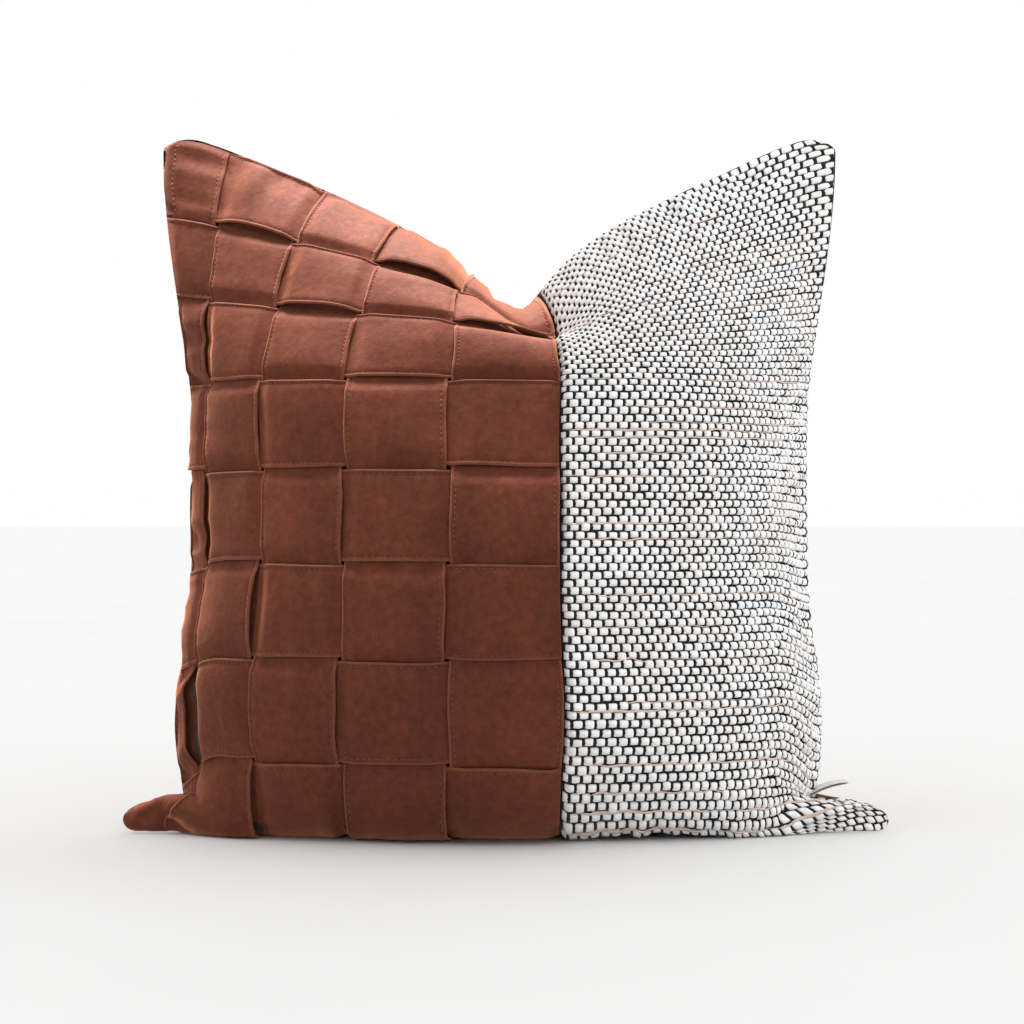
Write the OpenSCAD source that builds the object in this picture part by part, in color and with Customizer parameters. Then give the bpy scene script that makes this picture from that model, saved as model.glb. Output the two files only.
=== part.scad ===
// Throw pillow: a zipped cover with a woven strip panel beside a tweed panel, over a stuffed insert.
// X runs to the right across the front, the front faces -Y, +Z is up and the pillow stands on Z = 0.

/* [Pillow] */
// Width from tip to tip of the two bottom corners
ear_span = 450; // [380:1:540]
// Height from the floor to the tips of the top corners
body_h = 410; // [340:1:500]
// Thickness from front to back at the fullest height
body_depth = 196; // [160:1:240]
// Width across the waist, halfway up
waist_w = 361; // [300:1:430]
// Width of the body just above the floor, inside the corners
base_w = 361; // [300:1:430]
// Width from tip to tip of the two top corners
top_span = 401; // [330:1:480]
// How far each side swells out low down
hip_swell = 9; // [0:0.5:16]
// Sideways place of the body over the bottom corners
body_lean = -4; // [-10:0.5:10]
// Height of the fullest part, as a share of the height above the flat base
full_height = 0.36; // [0.3:0.01:0.5]

/* [Base] */
// Depth of the flat patch that the pillow stands on
base_depth = 64; // [50:1:90]
// Share of the cover's height that lies in one half of the flat patch
base_take = 0.045; // [0.035:0.001:0.06]
// Share of the cover's height that the corner tips take up
ear_take = 0.052; // [0.048:0.001:0.08]

/* [Chop] */
// Depth of the dent in the top edge
chop_depth = 106; // [60:1:130]
// Sideways place of the dent in the top edge
chop_x = 4; // [-20:1:20]
// Share of the cover's height, from the bottom, at which the dent starts
chop_start = 0.6; // [0.55:0.01:0.75]

/* [Cover cut] */
// Flat width of the cover
cover_w = 450; // [400:1:500]
// Flat height of the cover
cover_h = 450; // [400:1:500]
// Flat width of the woven strip panel
leather_w = 256.5; // [230:0.5:280]
// Space between the two front panels along their seam
panel_gap = 0.7; // [0.4:0.1:1.5]
// Space between the front and back sheets along the outer seams
seam_gap = 0.2; // [0.1:0.05:0.5]

/* [Woven strips] */
// Strips that run across, from top to bottom
weft_count = 8; // [8]
// Strips that run up and down; the last one is cut by the side seam
warp_count = 5; // [5]
// Strip widths that fit across the woven panel
strips_across = 4.5; // [4.3:0.1:4.9]
// Gap between neighbouring strips
strip_gap = 2.4; // [1.5:0.1:4]
// Thickness of a strip
strip_t = 1.2; // [0.8:0.1:1.6]
// Space between a strip and what it crosses
layer_gap = 0.2; // [0.1:0.05:0.4]
// Thickness of the lining cloth behind the strips
lining_t = 1; // [0.6:0.1:1.4]

/* [Other fabrics] */
// Thickness of the tweed
tweed_t = 3.2; // [2:0.1:3.8]
// Thickness of the back panel
back_t = 1.6; // [1:0.1:3]

/* [Zip] */
// Length of the opening at the bottom seam
zip_len = 290; // [240:1:310]
// Width of the opening between the two panels
slit_w = 11; // [10.4:0.1:14]
// Height of the panels' edges above the floor beside the zip
slit_rise = 4; // [3.6:0.1:4.6]
// Width of one tape, from the teeth outwards
tape_w = 10; // [8:0.5:13]
// Thickness of the tapes
tape_t = 0.5; // [0.4:0.1:0.8]
// Space between the panels' inner face and the tapes
tape_lift = 0.3; // [0.2:0.1:0.6]
// Distance from tooth to tooth along one tape
tooth_pitch = 3; // [2.5:0.1:4]
// Length of one tooth along the zip
tooth_len = 1.6; // [1.2:0.1:2]
// Width of one tooth across the zip
tooth_w = 2.5; // [2:0.1:2.8]
// Height of one tooth
tooth_h = 2.4; // [2:0.1:2.8]
// Half the space that stays open between the two rows of teeth
tooth_gap = 0.7; // [0.6:0.05:0.9]
// Length of the slider
slider_len = 11; // [9:0.5:13]
// Thickness of the slider's plates
slider_plate = 1.1; // [0.9:0.1:1.2]
// Thickness of the slider's web between the rows of teeth
slider_web = 0.8; // [0.6:0.1:0.8]
// Clearance between the slider and what it runs on
slider_clear = 0.3; // [0.25:0.05:0.4]
// Length of the stops at the two ends of the teeth
stop_len = 3; // [2:0.5:5]

/* [Pull tab] */
// Length of the pull tab beyond its pivot
tab_len = 22; // [16:1:28]
// Width of the pull tab
tab_w = 5; // [4.4:0.1:5.4]
// Thickness of the pull tab
tab_t = 1; // [0.8:0.1:1.1]
// Radius of the pull tab's pivot bar
pivot_r = 0.5; // [0.4:0.05:0.55]
// Width of the loop that holds the pivot bar
loop_w = 1.6; // [1.2:0.1:1.8]

/* [Care label] */
// Length of the folded label out from the seam
label_len = 22; // [16:1:28]
// Width of the label along the seam
label_w = 16; // [12:1:24]
// Thickness of one ply of the label
label_t = 0.4; // [0.3:0.05:0.6]
// Upward tilt of the label in degrees
label_tilt = 16; // [8:1:22]

/* [Insert] */
// Distance from the cover's outside to the insert
insert_inset = 6; // [5:0.5:9]
// Height of the insert above the zip's slider
insert_lift = 2.05; // [1.55:0.25:5.05]
// Extra depth of the chop in the insert, below the cover's
insert_dip = 6; // [4:0.5:12]
// Thickness of the insert's casing
casing_t = 1; // [0.6:0.1:1.2]
// Space between the casing and the filling
fill_gap = 0.6; // [0.4:0.1:1.5]

/* [Hidden] */
$fn = 48;

FRONT = -1;
BACK = 1;

// Angles that set how round the body is across, up and towards its top edge
across_angle = 75;
height_angle = 30;
crest_angle = 80;
// Powers that set the fullness of the lower front and the run of the chop
belly_power = 2.5;
sag_power = 5;
chop_power = 1.4;
chop_spread = 1.2;
chop_round = 0.12;
corner_pull = 0.75;
flare_power = 2.2;
// Height at which the body reaches its waist, and height and reach of the low swell of the sides,
// as shares of the cover's height
waist_at = 0.4;
hip_at = 0.19;
hip_reach = 0.11;
// Part of the half width over which the base and the zip's groove are fully formed
flat_part = 0.72;
groove_take = base_take / 3;
// How far the groove runs on past each end of the zip, the share of the cover over which it fades
// out, and how far out between the waist and the corner tips the seam lies at the groove's height
groove_run = 12;
groove_fade = 0.07;
groove_reach = 0.858;
groove_end = (zip_len / 2 + groove_run) / mix(base_w / 2, ear_span / 2, groove_reach);
// Share of the cover's height below which the chop points at the panels' seam
chop_turn = 0.75;
// Part of the cover that the insert fills, across and up, and the power that closes its edges
insert_share = 0.94;
insert_low = 0.03;
insert_high = 0.975;
insert_edge = 6;
// Share of the label's length in which its two plies are sewn together
label_join = 0.25;
// Steps of the grid that the sheets share: up one row, up one of the top rows, across one strip,
// across the strip beside the panels' seam and across the tweed
row_parts = 2;
top_row_parts = 3;
top_rows = 2;
strip_parts = 2;
seam_strip_parts = 3;
tweed_parts = 8;
// Heights of the first steps above the flat patch, as multiples of its share
base_steps = [1.25, 1.8];

half_depth = body_depth / 2;
half_base = base_depth / 2;
seam_s = 2 * leather_w / cover_w - 1;
chop_s = 0.05;
weft_pitch = 1 / weft_count;
warp_pitch = 2 * leather_w / strips_across / cover_w;
gap_s = strip_gap / cover_w;
gap_t = strip_gap / cover_h / 2;
under_level = strip_t + layer_gap;
lining_level = 2 * under_level;
cover_t = lining_level + lining_t;

function mix(a, b, f) = a + (b - a) * f;
function clamp01(v) = max(0, min(1, v));

// A place on the cover is s, from -1 at the left seam to 1 at the right, and t, from 0 at the
// bottom seam to 1 at the top. A level is the distance in from the outermost face of the cover.
function across(s) = sin(across_angle * s) / sin(across_angle);
function crown(s) = (cos(across_angle * s) - cos(across_angle)) / (1 - cos(across_angle));
function rise(t) = sin(height_angle * t) / sin(height_angle);

function swell(t) = hip_swell * exp(-pow((t - hip_at) / hip_reach, 2));
function flare(t) = (top_span - waist_w) / 2 * pow(max(0, 2 * t - 1), flare_power);
function half_width(t) = mix(base_w, waist_w, clamp01(t / waist_at)) / 2 + swell(t) + flare(t);

function chop_place(t) = mix(chop_s, seam_s, clamp01((1 - t) / (1 - chop_turn)));
function nearness(s, at) = s < at ? (1 + s) / (1 + at) : (1 - s) / (1 - at);
function dent(s, at) =
    let(away = 1 - nearness(s, at), run = norm([1, chop_round]) - chop_round)
    1 - (norm([away, chop_round]) - chop_round) / run;
function chop_share(t, power) = pow(clamp01((t - chop_start) / (1 - chop_start)), power);

function top_x(s, level) =
    let(
        edge = top_span / 2 - level,
        near = pow(nearness(s, chop_s), corner_pull)
    )
    s < chop_s ? mix(body_lean - edge, chop_x, near) : mix(body_lean + edge, chop_x, near);

// slot is 1 for the cover, whose corners lie out on the floor and whose bottom seam is open at the
// zip, and 0 for the insert
function place_x(s, t, level, slot) =
    let(
        middle = body_lean + (half_width(t) - level) * across(s),
        bottom = (ear_span / 2 - level) * s,
        ear = slot * (1 - pow(clamp01(t / ear_take), 2))
    )
    mix(mix(middle, bottom, ear), top_x(s, level), chop_share(t, chop_spread));

function flatness(s) = 1 - pow(max(0, (abs(s) - flat_part) / (1 - flat_part)), 2);
function groove(s) = clamp01((groove_end + groove_fade - abs(s)) / groove_fade);

function place_z(s, t, level, slot) =
    let(
        tall = body_h - 2 * level,
        side = tall * rise(t),
        sag = t < base_take ? side : tall * rise(base_take) * pow((1 - t) / (1 - base_take), sag_power),
        deep = chop_depth + (1 - slot) * insert_dip,
        chop = deep * dent(s, chop_place(t)) * chop_share(t, chop_power),
        slot_rise = slot * slit_rise * groove(s) * clamp01(1 - t / groove_take)
    )
    level + side - flatness(s) * sag - chop + slot_rise;

function belly(h) =
    half_base + (half_depth - half_base) * pow(1 - pow(1 - h, belly_power), 1 / belly_power);

function crest(h) =
    let(angle = asin(h * sin(crest_angle)))
    half_depth * (cos(angle) - cos(crest_angle)) / (1 - cos(crest_angle));

function depth(t, level) =
    let(h = (rise(t) - rise(base_take)) / (1 - rise(base_take)))
    t < base_take ? (half_base - level) * t / base_take
    : h < full_height ? belly(h / full_height) - level
    : crest((h - full_height) / (1 - full_height)) * (half_depth - level) / half_depth;

function place_y(s, t, level, slot) =
    let(open = slot * (slit_w / 2 - seam_gap / 2) * groove(s) * clamp01(1 - t / base_take))
    seam_gap / 2 + open + crown(s) * depth(t, level);

function cover_point(s, t, side, level) =
    [place_x(s, t, level, 1), side * place_y(s, t, level, 1), place_z(s, t, level, 1)];

// The insert stays clear of the cover's corners, sits above the zip and closes along its own seam
function insert_point(s, t, side, level) =
    let(
        inner_s = insert_share * s,
        inner_t = mix(insert_low, insert_high, t),
        closing = (1 - pow(abs(s), insert_edge)) * (1 - pow(abs(2 * t - 1), 2 * insert_edge)),
        lift = (slider_top + insert_lift - insert_inset) * pow(1 - inner_t, insert_edge)
    )
    [
        place_x(inner_s, inner_t, level, 0),
        side * mix(seam_gap / 2, place_y(inner_s, inner_t, level, 0), closing),
        place_z(inner_s, inner_t, level, 0) + lift
    ];

// Stations of the grid that all the sheets share
function strip_stations(low, high, parts) = [for (k = [0:parts]) mix(low, high, k / parts)];

function row_low(row) = row == weft_count ? 0 : (weft_count - row) * weft_pitch + gap_t;
function row_high(row) = row == 1 ? 1 : (weft_count - row + 1) * weft_pitch - gap_t;
bottom_stations = [0, groove_take, base_take, each base_take * base_steps, row_high(weft_count)];
function row_stations(row) =
    row == weft_count ? bottom_stations
    : strip_stations(row_low(row), row_high(row), row <= top_rows ? top_row_parts : row_parts);

function column_high(column) = seam_s - (column - 1) * warp_pitch - (column == 1 ? panel_gap / cover_w : gap_s);
function column_low(column) = column == warp_count ? -1 : seam_s - column * warp_pitch + gap_s;
function column_stations(column) =
    strip_stations(column_low(column), column_high(column), column == 1 ? seam_strip_parts : strip_parts);

leather_s = [for (column = [warp_count:-1:1]) each column_stations(column)];
strip_t_stations = [for (row = [weft_count:-1:1]) each row_stations(row)];
tweed_s = strip_stations(seam_s + panel_gap / cover_w, 1, tweed_parts);
plain_t = [
    for (row = [weft_count:-1:1])
        let(stations = row_stations(row))
        for (k = [0:len(stations) - (row == 1 ? 1 : 2)]) stations[k]
];
plain_s = [
    for (column = [warp_count:-1:1], k = [0:1]) column_stations(column)[k],
    seam_s,
    for (k = [1:tweed_parts]) tweed_s[k]
];

function row_of(t) = weft_count - min(weft_count - 1, floor(t * weft_count));
function column_of(s) = 1 + max(0, floor((seam_s - s) / warp_pitch));
function warp_over(s, t) = (row_of(t) + column_of(s)) % 2 == 0;

// Triangles of a closed sheet: its near face, its far face and the four edges between them
function sheet_faces(columns, rows, flip) =
    let(
        far = columns * rows,
        at = function(i, j) j * columns + i,
        faces = [
            for (j = [0:rows - 2])
                let(a = at(0, j), d = at(0, j + 1), b = at(columns - 1, j), c = at(columns - 1, j + 1))
                each [[d, a, far + a], [d, far + a, far + d], [b, c, far + c], [b, far + c, far + b]],
            for (i = [0:columns - 2])
                let(a = at(i, 0), b = at(i + 1, 0), d = at(i, rows - 1), c = at(i + 1, rows - 1))
                each [[a, b, far + b], [a, far + b, far + a], [c, d, far + d], [c, far + d, far + c]],
            for (j = [0:rows - 2], i = [0:columns - 2])
                let(a = at(i, j), b = at(i + 1, j), c = at(i + 1, j + 1), d = at(i, j + 1))
                each [[a, d, c], [a, c, b], [far + a, far + c, far + d], [far + a, far + b, far + c]]
        ]
    )
    flip ? [for (face = faces) [face[2], face[1], face[0]]] : faces;

module sheet(s_list, t_list, near, far, flip = false) {
    polyhedron(
        points = [
            for (t = t_list, s = s_list) near(s, t),
            for (t = t_list, s = s_list) far(s, t)
        ],
        faces = sheet_faces(len(s_list), len(t_list), flip)
    );
}

// A strip lies at level 0 where it goes over, and one strip further in where it goes under
module strip(s_list, t_list, over) {
    level = function(s, t) over(s, t) ? 0 : under_level;
    sheet(
        s_list,
        t_list,
        function(s, t) cover_point(s, t, FRONT, level(s, t)),
        function(s, t) cover_point(s, t, FRONT, level(s, t) + strip_t)
    );
}

module weft_strip(row) {
    color("#7a3f2f") strip(leather_s, row_stations(row), function(s, t) !warp_over(s, t));
}

module warp_strip(column) {
    color("#8a4a36") strip(column_stations(column), strip_t_stations, function(s, t) warp_over(s, t));
}

module cover_sheet(s_list, t_list, side, outer, thickness) {
    sheet(
        s_list,
        t_list,
        function(s, t) cover_point(s, t, side, outer),
        function(s, t) cover_point(s, t, side, outer + thickness),
        flip = side == BACK
    );
}

module weave_lining() {
    color("#4a3a34") cover_sheet(leather_s, strip_t_stations, FRONT, lining_level, lining_t);
}

module tweed_panel() {
    color("#e6e4e2") cover_sheet(tweed_s, plain_t, FRONT, 0, tweed_t);
}

module back_panel() {
    color("#7d4633") cover_sheet(plain_s, plain_t, BACK, 0, back_t);
}

// Heights of the zip's layers above the floor
tape_z = slit_rise + cover_t + tape_lift;
tooth_z = tape_z + tape_t / 2 - tooth_h / 2;
tooth_edge = tooth_gap + tooth_w;
slider_edge = tooth_edge + slider_clear + slider_plate;
lower_plate_z = tooth_z - slider_clear - slider_plate;
upper_plate_z = tooth_z + tooth_h + slider_clear;
slider_top = upper_plate_z + slider_plate;
pivot_z = lower_plate_z - slider_clear - tab_t / 2;
loop_bar_z = pivot_z - pivot_r - slider_clear - slider_plate;
slider_start = -zip_len / 2 + stop_len + slider_len / 2 + slider_clear;
loop_half = tab_t / 2 + 2 * slider_plate;
arm_w = (tab_w - loop_w) / 2 - slider_clear;

module zip_tape(side) {
    color("#3b2b26")
        translate([-zip_len / 2 - tape_w, side > 0 ? tooth_edge : -tooth_edge - tape_w, tape_z])
            cube([zip_len + 2 * tape_w, tape_w, tape_t]);
}

module zip_teeth(side) {
    run = zip_len - 2 * stop_len;
    offset = side > 0 ? tooth_pitch / 2 : 0;
    color("#8c7a5c")
        for (k = [0:floor((run - tooth_pitch) / tooth_pitch)])
            translate([
                -run / 2 + offset + k * tooth_pitch,
                side > 0 ? tooth_gap : -tooth_edge,
                tooth_z
            ])
                cube([tooth_len, tooth_w, tooth_h]);
}

// A stop bridges both tapes' inner edges at each end of the teeth
module zip_stops() {
    color("#b0a080")
        for (end = [-1, 1])
            translate([end * (zip_len / 2 + stop_len / 2), 0, tooth_z + tooth_h / 2])
                cube([stop_len, 2 * tooth_edge - 2 * layer_gap, tooth_h], center = true);
}

module slider_half(plate_z, flange_z, flange_h) {
    translate([-slider_len / 2, -slider_edge, plate_z]) cube([slider_len, 2 * slider_edge, slider_plate]);
    for (side = [-1, 1])
        translate([0, side * (slider_edge - slider_plate / 2), flange_z + flange_h / 2])
            cube([slider_len, slider_plate, flange_h], center = true);
}

module slider_loop() {
    translate([-loop_half, -loop_w / 2, loop_bar_z]) cube([2 * loop_half, loop_w, slider_plate]);
    for (end = [-1, 1])
        translate([end * (loop_half - slider_plate / 2), 0, (loop_bar_z + lower_plate_z + slider_plate) / 2])
            cube([slider_plate, loop_w, lower_plate_z + slider_plate - loop_bar_z], center = true);
}

module zip_slider() {
    lower_gap = tape_z - slider_clear - lower_plate_z;
    upper_low = tape_z + tape_t + slider_clear;
    color("#b49a66")
        translate([slider_start, 0, 0]) {
            slider_half(lower_plate_z, lower_plate_z, lower_gap);
            slider_half(upper_plate_z, upper_low, slider_top - upper_low);
            translate([-slider_len / 2, -slider_web / 2, lower_plate_z])
                cube([slider_len, slider_web, slider_top - lower_plate_z]);
            slider_loop();
        }
}

module zip_pull_tab() {
    reach = norm([loop_half, pivot_z - loop_bar_z]) + slider_clear;
    color("#b49a66")
        translate([slider_start, 0, pivot_z]) {
            rotate([90, 0, 0]) cylinder(r = pivot_r, h = tab_w, center = true);
            for (side = [-1, 1])
                translate([reach / 2, side * (tab_w - arm_w) / 2, 0]) cube([reach, arm_w, tab_t], center = true);
            translate([reach, -tab_w / 2, -tab_t / 2]) cube([tab_len - reach, tab_w, tab_t]);
        }
}

// The label is a ribbon folded over at its outer end, held at the right side seam
module care_label() {
    color("white")
        translate([label_x, 0, label_z])
            rotate([0, -label_tilt, 0])
                rotate([90, 0, 0])
                    linear_extrude(height = label_w, center = true)
                        difference() {
                            union() {
                                square([label_len, 2 * label_t + layer_gap]);
                                translate([label_len, label_t + layer_gap / 2]) circle(r = label_t + layer_gap / 2);
                            }
                            translate([label_len * label_join, label_t])
                                square([label_len * (1 - label_join), layer_gap]);
                        }
}

label_x = place_x(1, ear_take, 0, 1) + label_t;
label_z = place_z(1, ear_take, 0, 1) + layer_gap;

module insert_casing(side) {
    color("#efe9dd")
        sheet(
            plain_s,
            plain_t,
            function(s, t) insert_point(s, t, side, insert_inset),
            function(s, t) insert_point(s, t, side, insert_inset + casing_t),
            flip = side == BACK
        );
}

module insert_filling() {
    level = insert_inset + casing_t + fill_gap;
    color("#faf8f4")
        sheet(
            plain_s,
            plain_t,
            function(s, t) insert_point(s, t, FRONT, level),
            function(s, t) insert_point(s, t, BACK, level)
        );
}

weft_strip(1);  // weft_strip_1
weft_strip(2);  // weft_strip_2
weft_strip(3);  // weft_strip_3
weft_strip(4);  // weft_strip_4
weft_strip(5);  // weft_strip_5
weft_strip(6);  // weft_strip_6
weft_strip(7);  // weft_strip_7
weft_strip(8);  // weft_strip_8
warp_strip(1);  // warp_strip_1
warp_strip(2);  // warp_strip_2
warp_strip(3);  // warp_strip_3
warp_strip(4);  // warp_strip_4
warp_strip(5);  // warp_strip_5
weave_lining();
tweed_panel();
back_panel();
zip_tape(FRONT);  // zip_tape_front
zip_tape(BACK);  // zip_tape_back
zip_teeth(FRONT);  // zip_teeth_front
zip_teeth(BACK);  // zip_teeth_back
zip_stops();
zip_slider();
zip_pull_tab();
care_label();
insert_casing(FRONT);  // insert_casing_front
insert_casing(BACK);  // insert_casing_back
insert_filling();
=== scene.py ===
import math

import bmesh
import bpy
import numpy as np
from bpy.props import FloatProperty, FloatVectorProperty, IntProperty, PointerProperty
from mathutils import Matrix, Vector


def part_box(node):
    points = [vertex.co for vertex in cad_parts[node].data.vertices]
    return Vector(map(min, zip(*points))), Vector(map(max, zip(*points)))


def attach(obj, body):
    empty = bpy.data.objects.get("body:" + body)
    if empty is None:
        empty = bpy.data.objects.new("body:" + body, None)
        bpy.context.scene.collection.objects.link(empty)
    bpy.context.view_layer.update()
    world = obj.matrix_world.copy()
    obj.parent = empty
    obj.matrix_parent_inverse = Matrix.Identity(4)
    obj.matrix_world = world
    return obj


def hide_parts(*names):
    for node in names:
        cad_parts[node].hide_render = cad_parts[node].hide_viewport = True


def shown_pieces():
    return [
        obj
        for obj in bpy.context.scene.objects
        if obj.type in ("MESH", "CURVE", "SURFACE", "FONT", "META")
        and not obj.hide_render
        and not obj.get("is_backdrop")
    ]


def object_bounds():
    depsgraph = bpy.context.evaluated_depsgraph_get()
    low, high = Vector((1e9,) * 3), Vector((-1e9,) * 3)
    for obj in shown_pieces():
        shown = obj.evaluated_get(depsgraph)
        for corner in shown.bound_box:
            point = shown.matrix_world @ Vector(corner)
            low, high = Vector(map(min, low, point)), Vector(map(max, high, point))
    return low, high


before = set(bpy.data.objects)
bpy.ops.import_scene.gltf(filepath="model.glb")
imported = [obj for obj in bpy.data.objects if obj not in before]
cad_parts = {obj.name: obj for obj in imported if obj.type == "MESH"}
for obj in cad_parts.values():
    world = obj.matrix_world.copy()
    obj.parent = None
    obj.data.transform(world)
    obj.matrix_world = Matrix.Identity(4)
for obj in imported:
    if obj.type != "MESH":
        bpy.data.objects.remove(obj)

bl_info = {
    "name": "Woven Leather and Tweed Pillow",
    "version": (1, 0, 0),
    "blender": (4, 5, 0),
    "location": "3D View > Sidebar > Pillow",
    "description": "Makes the cover, insert, zip and label of a throw pillow that stands with a chopped top",
    "category": "Add Mesh",
}

CAD_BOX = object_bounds()
CAD_SIZE = CAD_BOX[1] - CAD_BOX[0]
FRONT = -1.0
BACK = 1.0
COVER = "cover"

# How the flat cloth takes the shape of the stuffed cover: angles, powers and shares of the cloth.
ACROSS_ANGLE = math.radians(75)
HEIGHT_ANGLE = math.radians(30)
CREST_ANGLE = math.radians(80)
BELLY_POWER = 2.5
FULL_HEIGHT = 0.36
SAG_POWER = 12.0
FLAT_PART = 0.72
BASE_TAKE = 0.045
EAR_TAKE = 0.052
EAR_LONG_TAKE = 0.105
EAR_START = 0.72
EAR_TIP = 1.018
EAR_POWER = 2
EAR_LONG_POWER = 1.5
EAR_SETTLE = 0.5
TOP_TIP_START = 0.85
CORNER_ROUND = 0.056
HIP_AT = 0.19
HIP_REACH = 0.11
FLARE_POWER = 2.2
CHOP_START = 0.6
CHOP_POWER = 1.4
CHOP_SPREAD = 1.2
CHOP_ROUND = 0.12
CHOP_TURN = 0.75
CHOP_TOP = 0.05
DENT_SLOPE = 0.76
DENT_SHARP = 10
CORNER_PULL = 0.75
SLIT_FADE = 0.07
SLIT_MARGIN = 0.02
PANEL_SHARE = 0.57
LEAN_POWER = 1.5
RELIEF_ROOM = 0.6
NORMAL_STEP = 0.002
INSERT_DRAW = (0.965, 0.95, 0.985)

# Lengths that belong to that shape, in metres.
TOP_TIP = 0.0042
SEAM_HALF_GAP = 0.0001
FLOOR_PRESS = 0.0007
ZIP_MARGIN = 0.024
LEAN_FROM = 0.29
LEAN_RISE = 0.12
LEAN_INSIDE = 0.09
LEAN_WIDE = 0.10
INSERT_MIDDLE = 0.2

# The unevenness of the cloth: how many waves make it, and in metres its pitches and each fold's place
# and reach, across and up.
WAVE_COUNT = 6
WAVE_PEAK = 2.6
SWAY_PITCH = 0.11
PUCKER_PITCH = 0.021
PUCKER_REACH = 0.011
SEAM_CALM = 0.004
VALLEY_PLACE = (0.030, 0.382)
VALLEY_REACH = (0.022, 0.034)
VALLEY_SLANT = 0.3
BULGE_PLACE = (-0.172, 0.030)
BULGE_REACH = (0.026, 0.018)
BULGE_HEIGHT = 0.0055
TUCK_PLACE = (0.026, 0.30)
TUCK_REACH = (0.034, 0.030)
TUCK_SHARE = 1.3

# The layers of the cover, in metres: thicknesses, and heights above the cover's own surface.
STRIP_THICK = 0.0014
STRIP_HIGH = 0.0008
STRIP_LOW = -0.0015
STRIP_DEEP = -0.0034
LINING_TOP = -0.0052
CLOTH_THICK = 0.0008
GROUND_TOP = -0.0022
GROUND_THICK = 0.0012
BACK_THICK = 0.0014

# The weave: strips across, upright strips, and how far a plain sheet's mesh lines are drawn to its ends.
ROWS = 8
COLUMNS = 5
END_DRAW = 0.6

# How each strip bends over and under the others, in metres along it.
OVER_RUN = 0.010
UNDER_RUN = 0.004
CROWN_RUN = 0.016
CROWN_HEIGHT = 0.0011
END_HEIGHT = -0.0022
END_RUN = 0.005
EDGE_SWAY = 0.0005
EDGE_SWAY_PITCH = 0.05
WRINKLE_HEIGHT = 0.00016
WRINKLE_PITCH = 0.024
WRINKLE_SLANT = 0.03
DIP_SHARE = 0.45
DIP_REACH = 0.007

# Mesh lines of a strip, in metres: from each fold inwards, along it, and near a crossing. The last value
# is the most of the half width that the lines from one fold may take.
FOLD_LINES = (
    0, 0.0001, 0.0003, 0.0007, 0.0012, 0.0018, 0.0022, 0.0026, 0.0031, 0.0040, 0.007, 0.012, 0.020,
)
LINE_STEP = 0.0034
CROSSING_STEP = 0.00125
WIDEST_GAP = 0.97

# The folded edge: a bead along the fold, as its height, place and reach, a groove under the stitches, as
# its height and reach, and a painted highlight along the folded edge, as its strength, place and reach.
BEAD = (0.00045, 0.0011, 0.0008)
GROOVE = (-0.0005, 0.00055)
PAINTED_RIM_HIGHLIGHT = (0.7, 0.0004, 0.0006)

# A stitch: share of its pitch, half width and half height, how far it sinks in, and how far it keeps
# from the ends and the crossings.
STITCH_SHARE = 0.38
STITCH_WIDE = 0.00032
STITCH_HIGH = 0.0003
STITCH_SINK = 0.0003
STITCH_END = 0.004
STITCH_CLEAR = 0.002

# Repeated shapes stand this far apart before they are laid on the cloth.
TUBE_STEP = 4.0

# A pebble of thick yarn: its rings along the pitch, the neck where it dives, and its unevenness in metres.
PEBBLE_PLACES = (0.0, 0.17, 0.38, 0.62, 0.83)
PEBBLE_SIDES = 8
PEBBLE_NECK = 0.34
PEBBLE_SHOULDER = 0.92
PEBBLE_WIDE = 0.47
PEBBLE_HIGH = 0.00165
PEBBLE_SINK = 0.0010
NECK_SINK = 0.0016
SIZE_SPREAD = 0.14
SHIFT_SPREAD = 0.0004
BOB_SPREAD = 0.00035
ROW_START = 0.25
SEAM_SINK = 0.0042
SEAM_RUN = 0.005

# The threads that bind the rows and the thin loose slubs, in metres.
THREAD_WIDE = 0.0011
THREAD_HIGH = 0.0006
THREAD_TOP = 0.00005
THREAD_LOW = -0.0030
SLUB_RINGS = 90
SLUB_RADIUS = 0.00075
SLUB_WANDER = 0.0006
SLUB_SINK = 0.0001

# The folded label, in metres: how far its two layers stand apart, its arch and its thickness.
LABEL_OPEN = 0.0009
LABEL_ARCH = 0.0012
LABEL_THICK = 0.00025

# Colours of the pieces that hardly show, and plain white for a ramp's end.
WHITE = (1.0, 1.0, 1.0, 1.0)
# The lining is a real part; its near-black colour is painted shade for the gaps of the weave.
LINING_SHADE = (0.005, 0.0035, 0.003)
GROUND_GREY = (0.05, 0.046, 0.043)
CASING_COTTON = (0.72, 0.70, 0.66)
FIBRE_WHITE = (0.82, 0.82, 0.80)
TAPE_BROWN = (0.045, 0.028, 0.022)
NYLON_BROWN = (0.06, 0.036, 0.028)
ZIP_STEEL = (0.28, 0.26, 0.24)
LABEL_WHITE = (0.86, 0.86, 0.85)

# Places where a folded edge stands open: kind of strip, its number, the strip it crosses there,
# the edge (-1 lower or left, 1 upper or right), how far it draws back and how far it lifts, in metres.
OPENINGS = (
    ("weft", 1, 4, -1, 0.0026, 0.0016),
    ("weft", 1, 2, -1, 0.0030, 0.0018),
    ("weft", 2, 3, -1, 0.0026, 0.0018),
    ("weft", 2, 1, -1, 0.0024, 0.0016),
    ("warp", 5, 3, 1, 0.0008, 0.0003),
    ("warp", 5, 5, 1, 0.0008, 0.0003),
    ("warp", 5, 7, 1, 0.0075, 0.0020),
    ("warp", 4, 8, -1, -0.0060, 0.0020),
    ("warp", 4, 6, 1, 0.0014, 0.0010),
    ("warp", 4, 8, 1, 0.0016, 0.0012),
)


def length(name, description, default):
    """A size property in metres."""
    return FloatProperty(name=name, description=description, default=default, unit="LENGTH", precision=4)


def colour(name, description, default):
    """A colour property."""
    return FloatVectorProperty(
        name=name, description=description, default=default, subtype="COLOR", size=3, min=0.0, max=1.0
    )


def power(name, description, default):
    """A lamp's power."""
    return FloatProperty(name=name, description=description, default=default, unit="POWER", min=0.0)


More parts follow.
